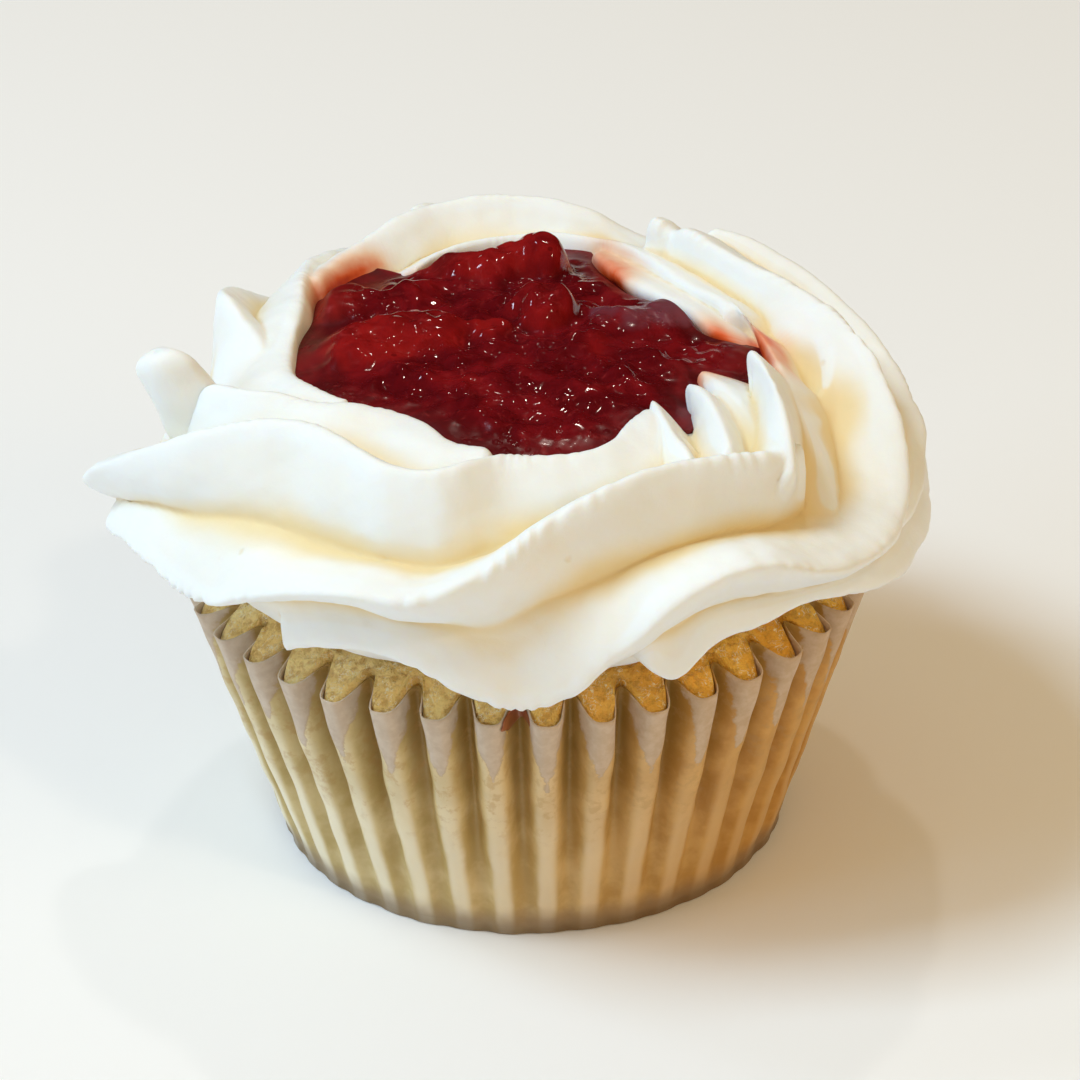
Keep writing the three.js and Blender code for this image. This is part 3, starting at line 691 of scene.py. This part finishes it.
def flute_wave(azimuth):
    """1 on an outward fold and -1 on an inward one: a cosine of the way from the middle of the
    outward fold raised to a power, which makes the outward folds wide, with flattened ends."""
    aside = np.abs((azimuth - FIRST_FLUTE) * FLUTES / 360 % 1 - 0.5) * 2
    turn = np.cos(np.pi * (1 - aside) ** 1.5)
    return 1.5 * turn / (1 + 0.5 * np.abs(turn))


def flute_depths(azimuth, seed=5):
    """Depth of each fold: the named depth with a small draw for each flute, joined smoothly."""
    draw = np.random.default_rng(seed).uniform(0.86, 1.1, FLUTES)
    count = ((azimuth - FIRST_FLUTE) * FLUTES / 360) % FLUTES
    low = np.floor(count).astype(int)
    part = smooth(count - low, 0.0, 1.0)
    return FLUTE_DEPTH * (draw[low % FLUTES] * (1 - part) + draw[(low + 1) % FLUTES] * part)


def rim_point(azimuth):
    """How near a place on the rim is to an inner fold, where the paper's edge rises to a point."""
    return (0.5 - 0.5 * flute_wave(azimuth)) ** 1.6


def wall_radius(azimuth, height):
    """Radius of the paper: a cone with flutes that deepen towards the rim."""
    up = np.clip(height / RIM_HEIGHT, 0, 1)
    middle = BASE_RADIUS + (RIM_RADIUS - BASE_RADIUS) * up
    return middle + flute_depths(azimuth) / 2 * up ** FLUTE_RISE * flute_wave(azimuth)


def make_cake():
    """The crust: rings from inside the paper over its rim and the shoulder to under the cream. The
    rim's flutes fade inwards, and fine grain stands out of the crown."""
    around = FLUTES * FLUTE_POINTS
    azimuths = np.arange(around) * 360 / around
    edge = wall_radius(azimuths, CRUST_EDGE) - CRUST_INSIDE
    middle = edge.mean()
    share = np.linspace(1, CRUST_INNER, CRUST_ROWS)
    azimuth = azimuths[:, None] + 0 * share
    eased = share * (middle + (edge[:, None] - middle) * smooth(share, 0.93, 1.0))
    shoulder = cut_end((1 - share) / CRUST_SHOULDER)
    low = CRUST_EDGE - 0.5 + (RIM_POINTS + 0.9) * rim_point(azimuth)
    top = low + (crown(eased) - low) * (0.15 + 0.85 * shoulder)
    lobes = 0.5 * (flute_wave(azimuth) + 1) * smooth(share, 0.95, 0.99) * 0.4
    points = place(azimuth, eased, top + lobes)
    points[..., 2] += unrest(points, CRUST_GRAIN) * shoulder
    low_edge = CRUST_EDGE - CRUST_SKIRT
    skirt = place(azimuths, wall_radius(azimuths, low_edge) - SKIRT_INSIDE, low_edge)
    points = np.concatenate([skirt[:, None], points], 1)
    return closed_mesh("cake_crust", points, (0, 0, low_edge), (0, 0, crown(0)))


# Paper case

def make_paper():
    """The liner: a thin wall of flutes from the foot to the rim, its inside a little within its
    outside, and a flat bottom. Fields keep how far a place lies aside of its flute and up the wall."""
    around = FLUTES * FLUTE_POINTS
    azimuths = np.arange(around) * 360 / around + FIRST_FLUTE
    up = np.linspace(0, 1, WALL_ROWS)
    height = FOOT_ROUND + (RIM_HEIGHT - FOOT_ROUND) * up
    azimuth = azimuths[:, None] + 0 * height
    outside = place(azimuth, wall_radius(azimuth, height + 0 * azimuth), height)
    outside += grid_normals(outside) * unrest(outside, PAPER_UNREST)[..., None]
    sway = unrest(place(azimuths, RIM_RADIUS, 0), RIM_SWAY)
    outside[..., 2] += sway[:, None] * up ** 3 + RIM_POINTS * rim_point(azimuth) * up ** 5
    inside = outside - grid_normals(outside) * PAPER
    inside = inside[:, ::-1]
    inside[:, -1, 2] = PAPER
    foot = outside[:, :1] * np.array([0.972, 0.972, 0])
    points = np.concatenate([foot, outside, inside], 1)
    aside = np.abs(((azimuths - FIRST_FLUTE) * FLUTES / 360 + 0.5) % 1 - 0.5)[:, None]
    rows = np.concatenate([[0], up, up[::-1]])
    values = {"aside": aside + 0 * rows, "up": rows + 0 * aside}
    return closed_mesh("paper_liner", points, (0, 0, 0), (0, 0, PAPER), values)


def make_smear():
    """The smear: a thin lens laid on the paper's wall at the rim, with an uneven outline."""
    around, rings = SMEAR_GRID
    azimuth_at, height_at, half_azimuth, half_height, thickness = SMEAR
    a = (np.arange(around) * 2 * np.pi / around)[:, None]
    share = np.linspace(0.02, 1, rings)
    outline = 1 + 0.16 * np.sin(3 * a + 1) + 0.12 * np.sin(5 * a + 4)
    reach = np.concatenate([share, share[-2::-1]])
    side = np.concatenate([np.ones(rings), -np.ones(rings - 1)])
    azimuth = azimuth_at + half_azimuth * outline * reach * np.cos(a)
    height = height_at + half_height * outline * reach * np.sin(a)
    lift = side * thickness * np.sqrt(1 - reach ** 2)
    points = place(azimuth, wall_radius(azimuth, height) + SMEAR_OFF + lift, height)
    middle = wall_radius(azimuth_at, height_at) + SMEAR_OFF
    front = place(azimuth_at, middle + thickness, height_at)
    back = place(azimuth_at, middle - thickness, height_at)
    return closed_mesh("jam_smear", points[:, ::-1], back, front)


# Materials

class Value:
    """A number or colour that varies over a surface, with arithmetic that adds Math nodes."""

    def __init__(self, shader, socket):
        self.shader = shader
        self.socket = socket

    def _math(self, operation, *terms):
        return self.shader.node("ShaderNodeMath", {"operation": operation}, dict(enumerate(terms)))

    def __add__(self, other):
        return self._math("ADD", self, other)

    def __sub__(self, other):
        return self._math("SUBTRACT", self, other)

    def __mul__(self, other):
        return self._math("MULTIPLY", self, other)

    def __truediv__(self, other):
        return self._math("DIVIDE", self, other)

    def __pow__(self, other):
        return self._math("POWER", self, other)

    def __rsub__(self, other):
        return self._math("SUBTRACT", other, self)

    def at_most(self, other):
        return self._math("MINIMUM", self, other)

    def at_least(self, other):
        return self._math("MAXIMUM", self, other)

    __radd__ = __add__
    __rmul__ = __mul__


class Shader:
    """A material whose nodes are added one by one, on a Principled shader."""

    def __init__(self, name, **plain):
        self.material = bpy.data.materials.new(name)
        self.material.use_nodes = True
        self.tree = self.material.node_tree
        self.surface = self.tree.nodes["Principled BSDF"]
        for label, value in plain.items():
            self.surface.inputs[label.replace("_", " ")].default_value = value
        self.points = self.node("ShaderNodeTexCoord", out="Object")

    def node(self, kind, settings=None, inputs=None, out=0):
        """Adds a node, sets its settings, and sets or links its sockets."""
        node = self.tree.nodes.new(kind)
        for label, value in (settings or {}).items():
            setattr(node, label, value)
        for label, value in (inputs or {}).items():
            if isinstance(value, Value):
                self.tree.links.new(value.socket, node.inputs[label])
            else:
                node.inputs[label].default_value = value
        return Value(self, node.outputs[out])

    def noise(self, size, detail=2, rough=0.5, warp=0.0):
        """Cloudy noise whose patches are about size millimetres across."""
        inputs = {"Vector": self.points, "Scale": 1 / (size * MM), "Detail": detail,
                  "Roughness": rough, "Distortion": warp}
        return self.node("ShaderNodeTexNoise", {}, inputs)

    def cells(self, size):
        """Distance to the nearest of points about size millimetres apart, in cell widths."""
        inputs = {"Vector": self.points, "Scale": 1 / (size * MM)}
        return self.node("ShaderNodeTexVoronoi", {}, inputs, "Distance")

    def along(self, axis):
        """The place along an axis, in metres."""
        return self.node("ShaderNodeSeparateXYZ", {}, {"Vector": self.points}, axis)

    def field(self, name):
        """A number kept on the mesh."""
        return self.node("ShaderNodeAttribute", {"attribute_name": name}, {}, "Fac")

    def between(self, value, low, high):
        """0 at low and 1 at high, smooth between, also where low is above high."""
        inputs = {"Value": value, "From Min": low, "From Max": high}
        return self.node("ShaderNodeMapRange", {"interpolation_type": "SMOOTHSTEP"}, inputs)

    def mix(self, factor, first, second):
        """A colour between two others, each a value or three plain numbers. The Mix node's colour
        sockets are 6 and 7, and its colour comes out of 2."""
        first, second = (c if isinstance(c, Value) else (*c, 1) for c in (first, second))
        return self.node("ShaderNodeMix", {"data_type": "RGBA"}, {0: factor, 6: first, 7: second}, 2)

    def bump(self, height, depth, strength=1.0, under=None):
        """A bump whose height of 1 stands depth millimetres high, on an earlier one if given."""
        inputs = {"Height": height, "Distance": depth * MM, "Strength": strength}
        if under is not None:
            inputs["Normal"] = under
        return self.node("ShaderNodeBump", {}, inputs)

    def feed(self, label, value):
        """Links a value to a socket of the Principled shader."""
        self.tree.links.new(value.socket, self.surface.inputs[label])


def cream_finish():
    """Whipped cream: white, with painted cool light on the crests, painted warm shade in the
    hollows and painted deep yellow shade in the creases, faintly grained, with small pores
    darkened by painted shade, and orange-red where juice has run in."""
    s = Shader("whipped cream", Subsurface_Weight=0.22, Subsurface_Scale=1.3 * MM,
               Subsurface_Radius=(1.0, 0.72, 0.40), Roughness=0.42, Specular_IOR_Level=0.4)
    shade, crease = s.field("shade"), s.field("crease")
    soft = s.noise(9, 3)
    white = s.mix(s.between(soft, 0.35, 0.65), (0.86, 0.88, 0.87), (0.89, 0.90, 0.87))
    # Painted shade: the cream turns warm beige in the hollows that the shade field finds
    open_hollow = shade + (soft - 0.5) * 0.5
    painted_warm_shade = s.mix(s.between(open_hollow, -0.28, 1.25) * 0.92, white, (0.87, 0.72, 0.42))
    # Painted light: crests, where the crease field is below zero, turn a cool lit white
    crest = s.mix(s.between(crease, -0.02, -0.12) * 0.7, painted_warm_shade, (0.88, 0.93, 0.97))
    # Painted shade: the creases turn deep yellow
    painted_crevice_shade = s.mix(s.between(crease, 0.10, 0.50) * 0.55, crest, (0.86, 0.69, 0.38))
    juice = (s.field("juice") * (0.85 + 0.6 * (s.noise(2.6, 3) - 0.5))).at_least(0)
    blush = s.mix(s.between(juice, 0.0, 0.45) * 0.7, painted_crevice_shade, (0.88, 0.52, 0.28))
    orange = s.mix(s.between(juice, 0.25, 0.75), blush, (0.78, 0.12, 0.022))
    deep = s.mix(s.between(juice, 0.60, 0.95), orange, (0.42, 0.018, 0.009))
    # Small pores: real pits in the bump, and painted shade that darkens them to deep yellow in the colour
    pores_and_their_shade = s.between(s.cells(9), 0.060, 0.010)
    s.feed("Base Color", s.mix(pores_and_their_shade * 0.35, deep, (0.80, 0.66, 0.38)))
    s.feed("Roughness", 0.40 + 0.14 * s.noise(1.2, 2))
    grain = s.bump(s.noise(1.0, 4, 0.6), 0.09, 0.6)
    s.feed("Normal", s.bump(1 - pores_and_their_shade, 0.15, 0.5, grain))
    return s.material


def jam_finish():
    """Cooked strawberries in their gel: dark wine red in the gel, clearer red on the fruit, with a
    painted greyish sheen on the right where the gloss is also duller, painted shade in the hollows,
    threads, darker seeds, and a wet gloss that is duller at the rim."""
    s = Shader("strawberry jam", Subsurface_Weight=0.15, Subsurface_Scale=2.0 * MM,
               Subsurface_Radius=(1.0, 0.10, 0.07), Coat_Roughness=0.03, Specular_IOR_Level=0.35)
    tint, sheen_and_dullness, cavity, rim = (s.field(name) for name in ("tint", "sheen_and_dullness", "cavity", "rim"))
    cloud = s.noise(5, 4, 0.6, 0.6)
    gel = s.mix(s.between(cloud, 0.35, 0.68), (0.09, 0.003, 0.005), (0.18, 0.006, 0.009))
    fruit = s.mix(s.between(cloud, 0.35, 0.70), (0.16, 0.005, 0.006), (0.28, 0.009, 0.009))
    red = s.mix(s.between(tint + (cloud - 0.5) * 0.9, 0.1, 0.9), gel, fruit)
    thread = s.noise(2.2, 5, 0.65, 1.6)
    streaked = s.mix(s.between(thread, 0.56, 0.74) * 0.35, red, (0.38, 0.035, 0.036))
    # Painted sheen: patches where the heap's forms ask for it turn greyish mauve, and their gloss is
    # duller
    sheen_and_dull_patch = s.between(sheen_and_dullness * (0.45 + s.noise(4, 3)), 0.60, 0.95)
    painted_sheen = s.mix(sheen_and_dull_patch * 0.7, streaked, (0.17, 0.045, 0.065))
    # Painted shade: the gel darkens to near black in its hollows
    painted_hollow_shade = s.mix(s.between(cavity, 0.05, 0.40) * 0.5, painted_sheen, (0.055, 0.001, 0.003))
    seeds = s.between(s.cells(3.4), 0.10, 0.07)
    s.feed("Base Color", s.mix(seeds * 0.4, painted_hollow_shade, (0.03, 0.001, 0.002)))
    low = s.between(cavity, -0.05, 0.25)
    dull = 0.22 * sheen_and_dull_patch + 0.10 * s.between(cloud, 0.5, 0.75) + 0.34 * rim + 0.10 * low
    s.feed("Roughness", 0.07 + dull)
    s.feed("Coat Weight", 0.25 - 0.25 * rim)
    ripple = s.bump(s.noise(2.6, 1), 0.08, 0.8)
    near = s.cells(0.9)
    drop = (1 - near * near * 5).at_least(0)
    wet = s.between(s.noise(4.5, 1), 0.52, 0.60)
    s.feed("Normal", s.bump(drop * wet, 0.8, 0.25, ripple))
    return s.material


def cake_finish():
    """Sponge crust: golden brown, moist, with grains and threads of sugar. Painted shade darkens
    its pits and makes it a deeper orange to the right, and painted glints lie on the sugar threads."""
    s = Shader("cake crust", Subsurface_Weight=0.15, Subsurface_Scale=1.2 * MM,
               Subsurface_Radius=(1.0, 0.6, 0.25), Specular_IOR_Level=0.5)
    patch = s.noise(8, 3)
    grain = s.noise(0.8, 4, 0.65)
    # Painted light and shade: the crust is paler on the left, towards the light, and darker orange on the
    # right
    side = s.between(s.along("X"), -0.022, 0.018)
    left = s.mix(s.between(patch, 0.35, 0.68), (0.90, 0.64, 0.23), (0.98, 0.79, 0.37))
    right = s.mix(s.between(patch, 0.35, 0.68), (0.88, 0.44, 0.045), (0.96, 0.58, 0.09))
    # Painted shade: the low places of the grain darken to brown
    with_painted_pit_shade = s.mix(s.between(grain, 0.54, 0.38) * 0.45, s.mix(side, left, right), (0.46, 0.22, 0.035))
    thread = s.noise(1.0, 2, 0.5, 2.2)
    line = s.between(thread, 0.470, 0.495) * s.between(thread, 0.530, 0.505)
    # Painted glint: the sugar threads are drawn near white in the colour, and their lower roughness is
    # real gloss
    glint = line * s.between(s.noise(1.3, 1), 0.48, 0.58)
    s.feed("Base Color", s.mix(glint * 0.85, with_painted_pit_shade, (1.0, 0.93, 0.70)))
    s.feed("Roughness", (0.55 - 0.45 * glint).at_least(0.10))
    s.feed("Normal", s.bump(thread, 0.35, 0.7, s.bump(grain, 0.5)))
    return s.material


def paper_finish():
    """Baking paper: dry and pinkish white in a ragged wedge on each fold at the rim, and below
    it soaked with grease, golden with spots. Its paler ridges are partly grease and partly painted
    light, its darker hollows partly its contact with the cake and partly painted shade, its brown
    foot partly the crust seen through it and partly a painted contact shadow, and painted light and
    shade make it paler and greyer on the left and darker orange on the right."""
    s = Shader("baking paper", Subsurface_Weight=0.12, Subsurface_Scale=0.6 * MM,
               Subsurface_Radius=(1.0, 0.7, 0.4), Specular_IOR_Level=0.35)
    aside, up = s.field("aside"), s.field("up")
    ragged = (s.noise(1.8, 5, 0.65) - 0.5) * 0.20 + (s.noise(9, 1) - 0.5) * 0.22
    wedge = ((up - 0.70 + ragged) / 0.30).at_least(0).at_most(1)
    edge = 0.375 * wedge ** 0.75 + ragged * 0.15 - aside
    dry = s.between(edge, -0.012, 0.02) * s.between(wedge, 0.0, 0.06)
    # Painted light and shade: the paper is paler and greyer on the left, towards the light, and darker
    # orange on the right
    side = s.between(s.along("X"), -0.022, 0.026)
    cloud = s.between(s.noise(5, 4, 0.6), 0.36, 0.66)
    left = s.mix(cloud, (0.52, 0.40, 0.16), (0.68, 0.56, 0.30))
    right = s.mix(cloud, (0.50, 0.24, 0.045), (0.66, 0.36, 0.095))
    golden = s.mix(side, left, right)
    # The ridges of the flutes are paler: partly less grease, and partly painted light that is strongest
    # on the left
    ridge = s.between(aside * aside + (s.noise(2.5, 4) - 0.5) * 0.05, 0.070, 0.004)
    ridge_tone_and_light = s.mix(side, (0.94, 0.88, 0.70), (0.68, 0.41, 0.16))
    pale = s.mix(ridge * (0.35 + 0.45 * s.between(up, 0.75, 0.30)), golden, ridge_tone_and_light)
    # The hollows of the flutes darken to deep golden brown: partly the paper lying on the cake, partly
    # painted shade
    fold = s.between(aside, 0.22, 0.46) * (0.10 + 0.80 * s.between(up, 0.30, 0.95))
    deep = s.mix(fold, pale, (0.30, 0.17, 0.03))
    under = s.between(up, 0.30, 0.62) * s.between(s.noise(1.5, 4, 0.65), 0.50, 0.64)
    mottled = s.mix(under * 0.45, deep, (0.50, 0.30, 0.11))
    # The foot turns brown: partly the crust seen through the paper, partly a painted contact shadow
    foot = s.between(up + (s.noise(3, 2) - 0.5) * 0.06, 0.11, 0.0)
    soaked = s.mix(foot * 0.75, mottled, (0.24, 0.16, 0.10))
    dust = s.between(s.noise(1.1, 4, 0.6), 0.30, 0.72)
    dry_left = s.mix(dust, (0.56, 0.46, 0.37), (0.64, 0.545, 0.45))
    # Painted shade also turns the dry wedges browner on the right
    bare = s.mix(side * 0.8, dry_left, s.mix(dust, (0.54, 0.37, 0.22), (0.62, 0.45, 0.31)))
    rim = s.between(edge, 0.05, 0.0) * (0.25 + 0.5 * s.noise(2.0, 2))
    s.feed("Base Color", s.mix(dry, soaked, s.mix(rim, bare, (0.46, 0.30, 0.15))))
    s.feed("Roughness", 0.42 + 0.34 * dry + 0.12 * s.noise(3, 2))
    fibre = s.bump(s.noise(0.6, 3, 0.6), 0.04, 0.5)
    s.feed("Normal", s.bump(s.noise(3.0, 3), 0.22, 0.5, fibre))
    return s.material


def smear_finish():
    """A thin smear of cooked-on jam: red-brown and sticky."""
    s = Shader("jam smear", Coat_Weight=0.5, Coat_Roughness=0.15)
    s.feed("Base Color", s.mix(s.noise(1.0, 3), (0.26, 0.055, 0.018), (0.46, 0.16, 0.06)))
    s.feed("Roughness", 0.25 + 0.2 * s.noise(1.5, 2))
    return s.material


def dress(piece, material, slot, *nodes):
    """Gives a piece its finish, lets it ride on the one body, and hides the solids that it stands
    for. Its slot is not used."""
    piece.data.materials.append(material)
    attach(piece, "root")
    if nodes:
        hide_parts(*nodes)


# Camera, light and floor

def make_camera():
    """The camera at the photograph's height and distance, aimed by its three own directions."""
    rise = math.radians(EYE_ELEVATION)
    eye = Vector((0, -EYE_DISTANCE * math.cos(rise), EYE_HEIGHT_FROM + EYE_DISTANCE * math.sin(rise)))
    look = (Vector(AIM) - eye).normalized()
    right = look.cross(Vector((0, 0, 1))).normalized()
    up = right.cross(look)
    c, s = math.cos(math.radians(EYE_ROLL)), math.sin(math.radians(EYE_ROLL))
    turned = (c * right - s * up, s * right + c * up, -look)
    camera = bpy.data.objects.new("camera", bpy.data.cameras.new("camera"))
    camera.data.lens = LENS
    camera.data.sensor_fit = "HORIZONTAL"
    camera.data.sensor_width = 36
    camera.data.clip_start = 0.01
    camera.matrix_world = Matrix.Translation(eye * MM) @ Matrix(turned).transposed().to_4x4()
    bpy.context.scene.collection.objects.link(camera)
    bpy.context.scene.camera = camera


def make_lamps():
    """The pale room and its square lamps, each of which faces the cupcake."""
    world = bpy.data.worlds.new("pale room")
    world.use_nodes = True
    world.node_tree.nodes["Background"].inputs["Color"].default_value = ROOM_COLOUR
    world.node_tree.nodes["Background"].inputs["Strength"].default_value = ROOM_STRENGTH
    world.cycles_visibility.glossy = False
    bpy.context.scene.world = world
    for name, (place_at, size, power, colour, glossy) in LAMPS.items():
        data = bpy.data.lights.new(name, "AREA")
        data.size = size
        data.energy = power
        data.color = colour
        lamp = bpy.data.objects.new(name, data)
        lamp.location = place_at
        towards = Vector((0, 0, EYE_HEIGHT_FROM * MM)) - lamp.location
        lamp.rotation_euler = towards.to_track_quat("-Z", "Y").to_euler()
        lamp.visible_glossy = glossy
        bpy.context.scene.collection.objects.link(lamp)


def make_floor():
    """A plain pale floor under the paper case."""
    bpy.ops.mesh.primitive_plane_add(size=4, location=(0, 0, 0))
    floor = bpy.context.object
    floor.name = "floor"
    finish = Shader("pale floor", Base_Color=(0.91, 0.935, 0.975, 1), Roughness=0.8)
    floor.data.materials.append(finish.material)


bpy.context.scene.view_settings.view_transform = "Standard"
make_camera()
make_lamps()
make_floor()

cream = cream_finish()
dress(make_cream(), cream, "cream", "frosting")
dress(make_finger(), cream, "cream")
dress(make_jam(), jam_finish(), "jam", "jam")
dress(make_cake(), cake_finish(), "sponge", "cake")
dress(make_paper(), paper_finish(), "paper", "paper_case")
dress(make_smear(), smear_finish(), "jam")
